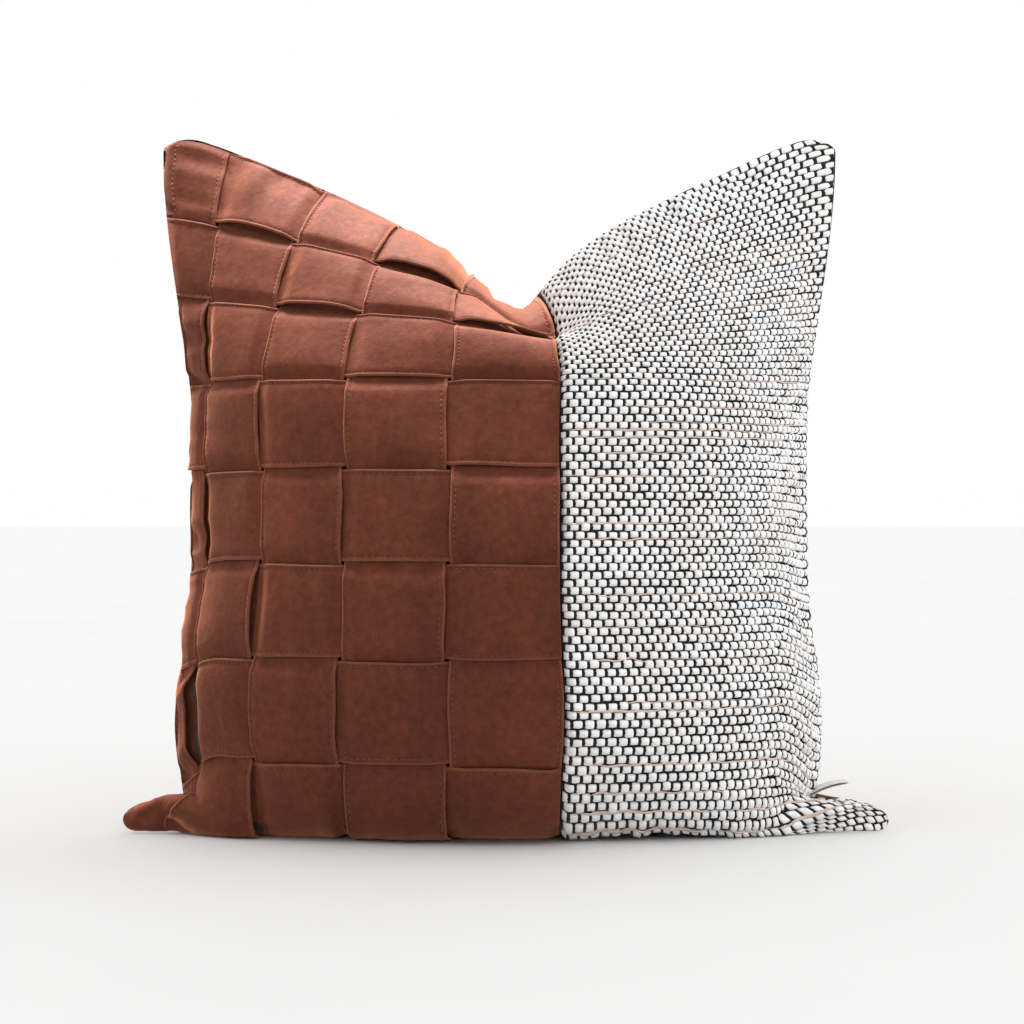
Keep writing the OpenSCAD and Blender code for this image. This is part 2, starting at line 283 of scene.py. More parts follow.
class PillowForm(bpy.types.PropertyGroup):
    """Sizes of the stuffed cover."""

    ear_span: length("Ear span", "Width between the two bottom corner tips", CAD_SIZE.x)
    body_height: length("Body height", "Height of the standing pillow", CAD_SIZE.z)
    body_depth: length("Body depth", "Depth from front to back at the fullest place", 0.196)
    base_depth: length("Base depth", "Depth of the flat that it stands on", 0.064)
    waist_width: length("Waist width", "Width at the middle of the height", 0.361)
    top_span: length("Top span", "Width between the two top corners", 0.401)
    hip_swell: length("Hip swell", "How far the lower sides swell out", 0.009)
    body_lean: length("Body lean", "How far the body stands to one side of the corners", -0.004)
    chop_depth: length("Chop depth", "Depth of the dent in the top edge", 0.106)
    chop_place: length("Chop place", "Place of the dent across the top edge", 0.004)
    cover_size: length("Cover size", "Side of the square cover when it lies flat", 0.45)
    slit_width: length("Slit width", "Opening of the bottom seam at the zip", 0.011)
    slit_rise: length("Slit rise", "How far the bottom seam lifts at the zip", 0.004)
    corner_lean: length("Corner lean", "How far the top corners tilt back", 0.022)
    ear_height: length("Ear height", "Height of the bottom corner ears", 0.0195)
    valley_depth: length("Valley depth", "Depth of the fold in front of the dent", 0.013)
    zip_length: length("Zip length", "Length of the zip in the bottom seam", 0.29)
    pucker_height: length("Pucker height", "Height of the puckers beside the seams", 0.0014)
    sway_height: length("Sway height", "Height of the broad unevenness of the stuffing", 0.0016)


class WovenLeather(bpy.types.PropertyGroup):
    """Sizes and colours of the woven leather half."""

    panel_width: length("Panel width", "Flat width of the woven panel", 0.2565)
    strip_pitch: length("Strip pitch", "Distance between upright strips", 0.057)
    strip_gap: length("Strip gap", "Gap between two strips that lie side by side", 0.0022)
    stitch_inset: length("Stitch inset", "Distance from a folded edge to its stitches", 0.0026)
    stitch_pitch: length("Stitch pitch", "Distance between two stitches", 0.0034)
    dark: colour("Dark suede", "Colour of the nap that lies down", (0.090, 0.0222, 0.0115))
    light: colour("Light suede", "Colour of the nap that stands up", (0.136, 0.0352, 0.0186))
    # The colour of a painted highlight along the folded edges, where light catches them.
    rim_highlight: colour("Painted fold highlight", "Colour of the highlight painted on the folded edges", (0.24, 0.088, 0.054))


class TweedCloth(bpy.types.PropertyGroup):
    """Sizes and colours of the tweed half."""

    pebble_pitch: length("Pebble pitch", "Distance between two pebbles in a row", 0.0059)
    row_pitch: length("Row pitch", "Distance between two rows", 0.0046875)
    slub_count: IntProperty(name="Slubs", description="Thin loose yarns between the rows", default=26, min=0)
    wool: colour("Wool", "Colour of the thick yarn", (0.86, 0.85, 0.845))
    slub: colour("Slub", "Colour of the thin loose yarn", (0.62, 0.50, 0.43))
    thread: colour("Thread", "Colour of the black threads that bind the rows", (0.012, 0.012, 0.013))


class StudioLight(bpy.types.PropertyGroup):
    """The stage, its light and its camera."""

    camera_distance: length("Camera distance", "From the camera to the middle of the pillow", 1.45)
    camera_height: length("Camera height", "Height of the camera", 0.188)
    camera_side: length("Camera side", "How far the camera stands to the right", 0.0035)
    view_width: length("View width", "Width that the camera sees at the pillow", 0.602)
    key_power: power("Key power", "Power of the lamp above the whole pillow", 14.0)
    tweed_power: power("Tweed power", "Power of the side lamp on the tweed", 14.0)
    suede_power: power("Suede power", "Power of the lamp that rakes the suede", 108.0)
    floor: colour("Floor", "Colour of the floor", (0.95, 0.95, 0.945))


# ---------------------------------------------------------------- shape of the stuffed cover


def clamp01(value):
    """A value held between 0 and 1."""
    return np.clip(value, 0.0, 1.0)


def mix(a, b, share):
    """A value that goes from a to b as share goes from 0 to 1."""
    return a + (b - a) * share


def smooth(value):
    """A smooth step from 0 to 1."""
    value = clamp01(value)
    return value * value * (3 - 2 * value)


def across(s):
    """How far out a place on the cloth lies, as a share of the half width."""
    return np.sin(ACROSS_ANGLE * s) / math.sin(ACROSS_ANGLE)


def crown(s):
    """Share of the full depth at a place across the cloth."""
    return (np.cos(ACROSS_ANGLE * s) - math.cos(ACROSS_ANGLE)) / (1 - math.cos(ACROSS_ANGLE))


def rise(t):
    """Share of the full height at a place up the cloth."""
    return np.sin(HEIGHT_ANGLE * t) / math.sin(HEIGHT_ANGLE)


def nearness(s, at):
    """1 at a place across the cloth, falling to 0 at both side seams."""
    return clamp01(np.where(s < at, (1 + s) / (1 + at), (1 - s) / (1 - at)))


def dent(s, at):
    """The plain V of the dent, rounded at its lowest place."""
    round_off = math.hypot(1, CHOP_ROUND) - CHOP_ROUND
    return 1 - (np.hypot(1 - nearness(s, at), CHOP_ROUND) - CHOP_ROUND) / round_off


def dent_depth(s, at):
    """The dent is shallow on its slopes and dips sharply at its lowest place."""
    shape = dent(s, at)
    return DENT_SLOPE * shape + (1 - DENT_SLOPE) * clamp01(shape) ** DENT_SHARP


def ear_part(s):
    """Share of the corner ears at a place across the cloth."""
    return smooth((np.abs(s) - EAR_START) / (1 - EAR_START))


def round_corners(s, t):
    """Takes the square cloth to one with rounded corners."""
    reach = CORNER_ROUND
    a = clamp01((np.abs(s) - 1 + reach) / reach)
    for low in (True, False):
        b = clamp01(((reach / 2 - t) if low else (t - 1 + reach / 2)) / (reach / 2))
        less_a = a * (1 - np.sqrt(1 - b * b / 2))
        less_b = b * (1 - np.sqrt(1 - a * a / 2))
        s = s - np.sign(s) * less_a * reach
        t = t + (1 if low else -1) * less_b * reach / 2
    return s, t


def chop_share(t, power):
    """How much of the dent has set in at a place up the cloth."""
    return clamp01((t - CHOP_START) / (1 - CHOP_START)) ** power


def half_width(form, t):
    """Half the body's width at a place up the cloth."""
    swell = form.hip_swell * np.exp(-(((t - HIP_AT) / HIP_REACH) ** 2))
    flare = (form.top_span - form.waist_width) / 2 * np.maximum(0, 2 * t - 1) ** FLARE_POWER
    return form.waist_width / 2 + swell + flare


def slit_share(form, s):
    """1 where the bottom seam opens for the zip, falling to 0 past its ends."""
    end = (form.zip_length + ZIP_MARGIN) / form.cover_size + SLIT_MARGIN
    return clamp01((end + SLIT_FADE - np.abs(s)) / SLIT_FADE)


def place_x(form, s, t):
    """Place across: the waist and hips in the middle, the ears below and the two corners above."""
    middle = form.body_lean + half_width(form, t) * across(s)
    bottom = EAR_TIP * form.ear_span / 2 * s
    take = mix(EAR_TAKE, EAR_LONG_TAKE, ear_part(s))
    ear = 1 - clamp01(t / take) ** mix(EAR_POWER, EAR_LONG_POWER, ear_part(s))
    corner = form.body_lean + np.where(s < CHOP_TOP, -1, 1) * form.top_span / 2
    top = mix(corner, form.chop_place, nearness(s, CHOP_TOP) ** CORNER_PULL)
    return mix(mix(middle, bottom, ear), top, chop_share(t, CHOP_SPREAD))


def place_y(form, s, t):
    """Distance from the seam plane: belly below, crest above, and the slit at the zip."""
    start = rise(BASE_TAKE)
    h = clamp01((rise(t) - start) / (1 - start))
    low = form.base_depth / 2
    full = form.body_depth / 2
    belly_h = clamp01(h / FULL_HEIGHT)
    belly = low + (full - low) * (1 - (1 - belly_h) ** BELLY_POWER) ** (1 / BELLY_POWER)
    crest_h = clamp01((h - FULL_HEIGHT) / (1 - FULL_HEIGHT))
    end = math.cos(CREST_ANGLE)
    crest = full * (np.cos(np.arcsin(crest_h * math.sin(CREST_ANGLE))) - end) / (1 - end)
    depth = np.where(t < BASE_TAKE, low * t / BASE_TAKE, np.where(h < FULL_HEIGHT, belly, crest))
    slit = (form.slit_width / 2 - SEAM_HALF_GAP) * slit_share(form, s) * clamp01(1 - t / BASE_TAKE)
    return SEAM_HALF_GAP + slit + crown(s) * depth


def place_z(form, s, t):
    """Height: the sagging base, the ears on the floor, the dent and the raised corners."""
    side = form.body_height * rise(t)
    flat = 1 - np.maximum(0, (np.abs(s) - FLAT_PART) / (1 - FLAT_PART)) ** 2
    above = clamp01((1 - t) / (1 - BASE_TAKE)) ** SAG_POWER
    sag = np.where(t < BASE_TAKE, side, form.body_height * rise(BASE_TAKE) * above)
    at = mix(CHOP_TOP, 2 * PANEL_SHARE - 1, clamp01((1 - t) / (1 - CHOP_TURN)))
    chop = form.chop_depth * dent_depth(s, at) * chop_share(t, CHOP_POWER)
    slit = form.slit_rise * slit_share(form, s) * clamp01(1 - t / (BASE_TAKE / 3))
    neck = form.body_height * rise(EAR_LONG_TAKE) - form.ear_height
    settle = clamp01(1 - (t - EAR_LONG_TAKE) / EAR_SETTLE) ** 2
    tip = form.ear_height * (1 - (1 - clamp01(t / EAR_LONG_TAKE)) ** 3)
    lobe = np.where(t < EAR_LONG_TAKE, tip, side - neck * settle)
    raised = TOP_TIP * clamp01((t - TOP_TIP_START) / (1 - TOP_TIP_START)) * ear_part(s)
    return mix(side - flat * sag, lobe, ear_part(s)) - chop + slit + raised


def cover_points(form, s, t, side):
    """Points on the outside of the cover: s from -1 to 1 across, t from 0 to 1 up."""
    s, t = round_corners(s, t)
    return np.stack([place_x(form, s, t), side * place_y(form, s, t), place_z(form, s, t)], axis=-1)


def waves(a, b, pitch, seed):
    """Even, seeded unevenness between about -1 and 1 over the flat cloth."""
    rng = np.random.default_rng(seed)
    total = np.zeros_like(a + b)
    for _ in range(WAVE_COUNT):
        turn, phase, stretch = rng.uniform(0, 2 * math.pi), rng.uniform(0, 2 * math.pi), rng.uniform(0.7, 1.5)
        total += np.sin(2 * math.pi * (a * math.cos(turn) + b * math.sin(turn)) / (pitch * stretch) + phase)
    return total / WAVE_PEAK


def mound(a, b, place, reach):
    """1 at a place, falling smoothly to 0 round it."""
    return np.exp(-(((a - place[0]) / reach[0]) ** 2) - ((b - place[1]) / reach[1]) ** 2)


def relief(form, u, v, side):
    """Height of the seams' puckers, the fold at the dent and the broad unevenness of the stuffing."""
    half = form.cover_size / 2
    seed = 11 if side == FRONT else 12
    total = form.sway_height * waves(u, v, SWAY_PITCH, seed)
    edges = ((u + half, v), (half - u, v), (v, u), (form.cover_size - v, u))
    for number, (gap, along) in enumerate(edges):
        gap = np.maximum(gap, 0) / PUCKER_REACH
        ripple = waves(along, 0 * along, PUCKER_PITCH, seed + 20 + number)
        total += form.pucker_height * ripple * gap * np.exp(1 - gap)
    edge = np.minimum(np.minimum(u + half, half - u), np.minimum(v, form.cover_size - v))
    total = total * smooth(edge / SEAM_CALM)
    up = v - VALLEY_PLACE[1]
    out = (u - VALLEY_PLACE[0] + up * VALLEY_SLANT) / VALLEY_REACH[0]
    valley = np.exp(-((up / VALLEY_REACH[1]) ** 2)) / (1 + out**2)
    total = total - form.valley_depth * valley
    if side == FRONT:
        total = total + BULGE_HEIGHT * mound(u, v, BULGE_PLACE, BULGE_REACH)
    return total


def lean_corners(form, points):
    """Tilts the thin top corners back."""
    high = clamp01((points[:, 2] - LEAN_FROM) / LEAN_RISE) ** LEAN_POWER
    wide = smooth((np.abs(points[:, 0] - form.body_lean) - LEAN_INSIDE) / LEAN_WIDE)
    moved = points.copy()
    moved[:, 1] += form.corner_lean * high * wide
    return moved


def tuck_insert(form, points):
    """Draws the insert in from the sides and down under the fold in front of the dent."""
    middle = np.array([form.body_lean, 0, INSERT_MIDDLE])
    tucked = middle + (points - middle) * INSERT_DRAW
    fold = mound(tucked[:, 0], tucked[:, 2], TUCK_PLACE, TUCK_REACH)
    tucked[:, 2] -= form.valley_depth * TUCK_SHARE * fold
    return tucked


def drape(form, flat, side):
    """Takes points from the flat cloth (across, up, height) to the stuffed cover."""
    u, v, height = flat[:, 0], flat[:, 1], flat[:, 2]
    uneven = relief(form, u, v, side)
    s = np.clip(2 * u / form.cover_size, -1, 1)
    t = np.clip(v / form.cover_size, 0, 1)
    inner_s = np.clip(s, 2 * CORNER_ROUND / 3 - 1, 1 - 2 * CORNER_ROUND / 3)
    inner_t = np.clip(t, CORNER_ROUND / 3, 1 - CORNER_ROUND / 3)
    right, left = (cover_points(form, inner_s + step, inner_t, side) for step in (NORMAL_STEP, -NORMAL_STEP))
    above, below = (cover_points(form, inner_s, inner_t + step, side) for step in (NORMAL_STEP, -NORMAL_STEP))
    normal = np.cross(right - left, above - below) * -side
    normal /= np.maximum(np.linalg.norm(normal, axis=1, keepdims=True), 1e-12)
    points = cover_points(form, s, t, side)
    room = side * points[:, 1] + SEAM_HALF_GAP
    uneven = np.maximum(uneven, -RELIEF_ROOM * room)
    spare = room + np.minimum(uneven, 0)
    height = np.where(height < 0, -spare * (1 - np.exp(np.minimum(height, 0) / spare)), height)
    points = points + normal * (height + uneven)[:, None]
    points[:, 1] = side * np.maximum(side * points[:, 1], SEAM_HALF_GAP)
    points[:, 2] = FLOOR_PRESS * np.logaddexp(0.0, points[:, 2] / FLOOR_PRESS)
    return lean_corners(form, points)


# ---------------------------------------------------------------- building blocks


def unit_slab(columns, rows):
    """A closed sheet: 0 to 1 in X and Y, its top at 0 and its underside at -1."""
    bm = bmesh.new()
    bmesh.ops.create_grid(bm, x_segments=columns, y_segments=rows, size=0.5)
    bmesh.ops.translate(bm, verts=bm.verts, vec=(0.5, 0.5, 0))
    made = bmesh.ops.extrude_face_region(bm, geom=bm.faces[:], use_keep_orig=True)["geom"]
    lower = [part for part in made if isinstance(part, bmesh.types.BMVert)]
    bmesh.ops.translate(bm, verts=lower, vec=(0, 0, -1))
    bmesh.ops.recalc_face_normals(bm, faces=bm.faces)
    return bm


def unit_tubes(count, rings, sides):
    """Closed tubes of radius 1 that lie along X from 0 to rings, side by side in Y."""
    bm = bmesh.new()
    bmesh.ops.create_grid(bm, x_segments=rings, y_segments=sides, size=0.5)
    for vert in bm.verts:
        turn = 2 * math.pi * (vert.co.y + 0.5)
        vert.co = ((vert.co.x + 0.5) * rings, math.cos(turn), math.sin(turn))
    bmesh.ops.remove_doubles(bm, verts=bm.verts, dist=1e-4)
    bmesh.ops.holes_fill(bm, edges=[edge for edge in bm.edges if edge.is_boundary], sides=0)
    bmesh.ops.recalc_face_normals(bm, faces=bm.faces)
    repeat(bm, count, (0, TUBE_STEP, 0))
    return bm


def repeat(bm, count, step):
    """Copies what the mesh holds until there are count of it, each a step further on."""
    first = bm.verts[:] + bm.edges[:] + bm.faces[:]
    for number in range(1, count):
        copy = bmesh.ops.duplicate(bm, geom=first)["geom"]
        moved = [part for part in copy if isinstance(part, bmesh.types.BMVert)]
        bmesh.ops.translate(bm, verts=moved, vec=Vector(step) * number)


def read_points(bm):
    """The places of a mesh's points."""
    bm.verts.ensure_lookup_table()
    return np.array([vert.co[:] for vert in bm.verts], float)


def tube_points(bm):
    """Points of side-by-side tubes, the number of each point's tube and its place across it."""
    unit = read_points(bm)
    line = np.rint(unit[:, 1] / TUBE_STEP).astype(int)
    return unit, line, unit[:, 1] - TUBE_STEP * line


def add_piece(context, name, bm, points, material, body=COVER, replaces=(), flip=False, marks=None):
    """Makes a piece from a mesh and its final points."""
    if flip:
        bmesh.ops.reverse_faces(bm, faces=bm.faces)
    mesh = bpy.data.meshes.new(name)
    bm.to_mesh(mesh)
    bm.free()
    if points is not None:
        mesh.vertices.foreach_set("co", np.ascontiguousarray(points, np.float32).ravel())
    for mark, values in (marks or {}).items():
        mesh.attributes.new(mark, "FLOAT", "POINT").data.foreach_set("value", values.astype(np.float32))
    mesh.shade_smooth()
    mesh.update()
    mesh.materials.append(material)
    obj = bpy.data.objects.new(name, mesh)
    context.scene.collection.objects.link(obj)
    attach(obj, body)
    if replaces:
        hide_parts(*replaces)
    return obj


def copy_of_node(context, name, node, material, finish, body=COVER, edge=0.0, smooth_levels=0):
    """A merged copy of a CAD node with softened edges, which stands for it."""
    bm = bmesh.new()
    bm.from_mesh(bpy.data.objects[node].data)
    bmesh.ops.remove_doubles(bm, verts=bm.verts, dist=1e-6)
    if not smooth_levels:
        bmesh.ops.dissolve_limit(bm, angle_limit=math.radians(1), verts=bm.verts, edges=bm.edges)
    if finish in ("casing", "filling"):
        tucked = tuck_insert(context.scene.pillow_form, read_points(bm))
        for vert, place in zip(bm.verts, lean_corners(context.scene.pillow_form, tucked)):
            vert.co = place
    if edge:
        sharp = [e for e in bm.edges if len(e.link_faces) == 2 and e.calc_face_angle() > math.radians(30)]
        shape = {"offset_type": "OFFSET", "affect": "EDGES", "segments": 2, "profile": 0.5, "material": -1}
        bmesh.ops.bevel(bm, geom=sharp, offset=edge, **shape)
    obj = add_piece(context, name, bm, None, material, body, (node,))
    if smooth_levels:
        rounding = obj.modifiers.new("Rounding", "SUBSURF")
        rounding.levels = rounding.render_levels = smooth_levels
    return obj


# ---------------------------------------------------------------- finishes


def add_node(tree, kind, inputs=None, settings=None):
    """A shader node with its settings and its inputs, which are values or other nodes' outputs."""
    made = tree.nodes.new("ShaderNode" + kind)
    for key, value in (settings or {}).items():
        setattr(made, key, value)
    for key, value in (inputs or {}).items():
        socket = made.inputs[key]
        if isinstance(value, bpy.types.NodeSocket):
            tree.links.new(value, socket)
        else:
            socket.default_value = value
    return made


def rgba(value, factor=1.0):
    """An opaque colour, lighter or darker by a factor."""
    return tuple(min(1.0, channel * factor) for channel in value) + (1.0,)


def ramp(tree, factor, stops):
    """A colour ramp; stops are pairs of a place and a colour."""
    made = add_node(tree, "ValToRGB", {"Fac": factor})
    elements = made.color_ramp.elements
    while len(elements) < len(stops):
        elements.new(0.5)
    for element, (place, value) in zip(elements, stops):
        element.position = place
        element.color = value
    return made.outputs["Color"]


def blend(tree, factor, a, b, kind="MIX"):
    """One colour over another."""
    made = add_node(tree, "Mix", settings={"data_type": "RGBA", "blend_type": kind})
    for index, value in ((0, factor), (6, a), (7, b)):
        if isinstance(value, bpy.types.NodeSocket):
            tree.links.new(value, made.inputs[index])
        else:
            made.inputs[index].default_value = value
    return made.outputs[2]


def scaled(tree, value, low, high):
    """A value from 0 to 1 taken to a range."""
    made = add_node(tree, "MapRange", {"Value": value, "To Min": low, "To Max": high})
    return made.outputs["Result"]


def product(tree, a, b):
    """Two values multiplied."""
    return add_node(tree, "Math", {0: a, 1: b}, {"operation": "MULTIPLY"}).outputs[0]


def noise(tree, coords, scale, detail=4.0, roughness=0.55):
    """Cloudy unevenness from 0 to 1; scale is in lumps to the metre."""
    inputs = {"Vector": coords, "Scale": scale, "Detail": detail, "Roughness": roughness}
    return add_node(tree, "TexNoise", inputs).outputs["Fac"]


def finish_material(name, base, roughness, bumps, constants):
    """Joins a surface's colour, roughness and bumps in one shader. bumps are (height, strength, depth)."""
    material = bpy.data.materials.new(name)
    material.use_nodes = True
    tree = material.node_tree
    tree.nodes.clear()
    coords = add_node(tree, "TexCoord").outputs["Object"]
    shader = add_node(tree, "BsdfPrincipled", constants)
    tree.links.new(base(tree, coords), shader.inputs["Base Color"])
    tree.links.new(roughness(tree, coords), shader.inputs["Roughness"])
    normal = None
    for height, strength, depth in bumps(tree, coords):
        inputs = {"Height": height, "Strength": strength, "Distance": depth}
        if normal is not None:
            inputs["Normal"] = normal
        normal = add_node(tree, "Bump", inputs).outputs["Normal"]
    tree.links.new(normal, shader.inputs["Normal"])
    output = add_node(tree, "OutputMaterial")
    tree.links.new(shader.outputs["BSDF"], output.inputs["Surface"])
    return material


def suede(name, dark, light, rim_highlight):
    """Brushed leather: mottled nap, cloudy shading, and a highlight painted on the folded edges."""

    def base(tree, coords):
        stops = ((0.32, rgba(dark)), (0.5, rgba(mid)), (0.68, rgba(light)))
        mottle = ramp(tree, noise(tree, coords, 210, 6, 0.62), stops)
        drawn = add_node(tree, "Mapping", {"Vector": coords, "Scale": (1.0, 1.0, 0.38)}).outputs["Vector"]
        streak = ((0.34, (0.78, 0.76, 0.77, 1)), (0.66, (1.16, 1.14, 1.12, 1)))
        cloud = ramp(tree, noise(tree, drawn, 34, 3), streak)
        cloudy = blend(tree, 0.8, mottle, cloud, "MULTIPLY")
        # Painted highlight: the folded edges are mixed towards a lighter colour, as if light caught them.
        highlight_mask = add_node(tree, "Attribute", settings={"attribute_name": "rim_highlight"}).outputs["Fac"]
        broken_highlight = product(tree, highlight_mask, scaled(tree, noise(tree, coords, 160), 0.25, 1.15))
        return blend(tree, broken_highlight, cloudy, rgba(rim_highlight))

    def roughness(tree, coords):
        return scaled(tree, noise(tree, coords, 300), 0.62, 0.88)

    def bumps(tree, coords):
        return (
            (noise(tree, coords, 240, 5, 0.6), 0.55, 0.0006),
            (noise(tree, coords, 1500, 3, 0.6), 0.4, 0.0002),
        )

    mid = [(a + b) / 2 for a, b in zip(dark, light)]
    constants = {
        "Sheen Weight": 0.75,
        "Sheen Roughness": 0.38,
        "Sheen Tint": (1.0, 0.40, 0.22, 1.0),
        "Specular IOR Level": 0.15,
    }
    return finish_material(name, base, roughness, bumps, constants)


def yarn(name, value, spread, sheen=0.35, fibre=900):
    """Spun wool or thread: soft fibres and uneven dye."""

    def base(tree, coords):
        stops = ((0.3, rgba(value, 1 - spread)), (0.55, rgba(value)), (0.75, rgba(value, 1 + spread)))
        lumps = ramp(tree, noise(tree, coords, 170, 3), stops)
        grubby = ramp(tree, noise(tree, coords, 25, 4), ((0.35, (0.88, 0.865, 0.85, 1)), (0.62, WHITE)))
        return blend(tree, 0.7, lumps, grubby, "MULTIPLY")

    def roughness(tree, coords):
        return scaled(tree, noise(tree, coords, 200), 0.8, 1.0)

    def bumps(tree, coords):
        return (
            (noise(tree, coords, fibre, 4, 0.65), 0.5, 0.0005),
            (noise(tree, coords, fibre / 3, 3), 0.5, 0.0008),
        )

    constants = {"Sheen Weight": sheen, "Sheen Roughness": 0.5, "Specular IOR Level": 0.2}
    return finish_material(name, base, roughness, bumps, constants)


def plain_weave(name, value, scale, roughness_range=(0.75, 0.95), constants=None):
    """Plain woven cloth with a fine crossing of threads."""

    def threads(tree, coords, direction):
        inputs = {"Vector": coords, "Scale": scale, "Distortion": 0.6, "Detail": 1.0}
        return add_node(tree, "TexWave", inputs, {"bands_direction": direction}).outputs["Fac"]

    def base(tree, coords):
        cross = product(tree, threads(tree, coords, "X"), threads(tree, coords, "Z"))
        woven = ramp(tree, cross, ((0.0, rgba(value, 0.72)), (0.7, rgba(value, 1.08))))
        aged = ramp(tree, noise(tree, coords, 14, 4), ((0.35, (0.9, 0.89, 0.87, 1)), (0.65, WHITE)))
        return blend(tree, 0.8, woven, aged, "MULTIPLY")

    def roughness(tree, coords):
        return scaled(tree, noise(tree, coords, 220), *roughness_range)

    def bumps(tree, coords):
        return (
            (threads(tree, coords, "X"), 0.35, 0.0003),
            (threads(tree, coords, "Z"), 0.35, 0.0003),
        )

    constants = constants or {"Sheen Weight": 0.25, "Sheen Roughness": 0.5}
    return finish_material(name, base, roughness, bumps, constants)


def hard(name, value, metallic, roughness_range):
    """Metal or moulded nylon with fine scratches and handling marks."""

    def base(tree, coords):
        stops = ((0.3, rgba(value, 0.75)), (0.6, rgba(value)), (0.8, rgba(value, 1.2)))
        return ramp(tree, noise(tree, coords, 300, 5), stops)

    def roughness(tree, coords):
        return scaled(tree, noise(tree, coords, 420, 6), *roughness_range)

    def bumps(tree, coords):
        return ((noise(tree, coords, 1400, 3), 0.15, 0.0001),)

    return finish_material(name, base, roughness, bumps, {"Metallic": metallic})


# ---------------------------------------------------------------- woven leather


def panel_seam(form, leather):
    """Place across the flat cloth of the seam between the two halves of the front."""
    return leather.panel_width - form.cover_size / 2


class Strip:
    """One folded leather strip of the weave, as it lies in the flat cloth."""

    def __init__(self, form, leather, kind, number):
        seam = panel_seam(form, leather)
        left = -form.cover_size / 2
        columns = [max(left, seam - leather.strip_pitch * count) for count in range(COLUMNS + 1)]
        rows = [form.cover_size * (ROWS - count) / ROWS for count in range(ROWS + 1)]
        self.kind, self.number = kind, number
        own, other = (rows, columns) if kind == "weft" else (columns, rows)
        outer = number == len(own) - 1
        self.high = own[number - 1] - (0 if number == 1 else leather.strip_gap / 2)
        self.low = own[number] + (0 if outer else leather.strip_gap / 2)
        self.marks = other
        self.start, self.end = other[-1], other[0]
        cells = range(1, len(other))
        self.over = np.array([((number + cell) % 2 == 1) == (kind == "weft") for cell in cells][::-1])
        self.crossings = np.array(other[1:-1][::-1])
        self.openings = [row for row in OPENINGS if row[0] == kind and row[1] == number]
        self.dips = [row for row in OPENINGS if row[0] != kind and row[2] == number]
        self.seed = number + (40 if kind == "weft" else 60)

    def middle(self, cell):
        """Middle and half length of the strip's cell over or under one other strip."""
        return (self.marks[cell - 1] + self.marks[cell]) / 2, (self.marks[cell - 1] - self.marks[cell]) / 2

    def is_over(self, along):
        """True where the strip lies over the others."""
        return self.over[np.clip(np.searchsorted(self.crossings, along), 0, len(self.over) - 1)]

    def from_crossing(self, along):
        """Distance along the strip from its nearest crossing."""
        return np.min(np.abs(along[:, None] - self.crossings[None, :]), axis=1)

    def edge(self, along, side):
        """Place of one long edge; side is -1 for the lower or left one."""
        place = self.low if side < 0 else self.high
        shift = EDGE_SWAY * waves(along, 0 * along, EDGE_SWAY_PITCH, self.seed + side)
        for _, _, cell, which, back, _ in self.openings:
            if which == side:
                centre, half = self.middle(cell)
                shift = shift + back * clamp01(1 - ((along - centre) / half) ** 2)
        return place - side * shift

    def height(self, along, share):
        """Height of the strip's face; share runs from -1 to 1 across it."""
        gap = self.from_crossing(along)
        over = self.is_over(along)
        risen = mix(STRIP_LOW, STRIP_HIGH, smooth(gap / OVER_RUN))
        sunk = mix(STRIP_LOW, STRIP_DEEP, smooth(gap / UNDER_RUN))
        middle = np.where(over, risen, sunk)
        middle = middle + np.where(over, CROWN_HEIGHT * (1 - share**2) * smooth(gap / CROWN_RUN), 0)
        for _, _, cell, which, _, lift in self.openings:
            centre, half = self.middle(cell)
            middle = middle + lift * clamp01(1 - ((along - centre) / half) ** 2) * clamp01(which * share) ** 2
        for _, number, _, which, back, lift in self.dips:
            other = self.marks[number] if which < 0 else self.marks[number - 1]
            middle = middle - (back + lift) * DIP_SHARE * np.exp(-(((along - other) / DIP_REACH) ** 2))
        end = np.minimum(along - self.start, self.end - along)
        wrinkle = WRINKLE_HEIGHT * waves(along, share * WRINKLE_SLANT, WRINKLE_PITCH, self.seed + 7)
        return mix(END_HEIGHT, middle, smooth(end / END_RUN)) + wrinkle * over

    def flat(self, along, across_place, height):
        """Points on the flat cloth from places along and across the strip."""
        pair = (along, across_place) if self.kind == "weft" else (across_place, along)
        return np.stack([*pair, height], axis=-1)


def ridge(gap, size, place, reach):
    """A ridge, or a groove where size is below 0, that runs along a folded edge."""
    return size * np.exp(-(((gap - place) / reach) ** 2))


def fold_round(gap):
    """How far the rounding of a fold lies inside the strip's thickness."""
    bend = STRIP_THICK / 2
    return np.sqrt(np.maximum(0, bend**2 - np.maximum(0, bend - gap) ** 2)) - bend


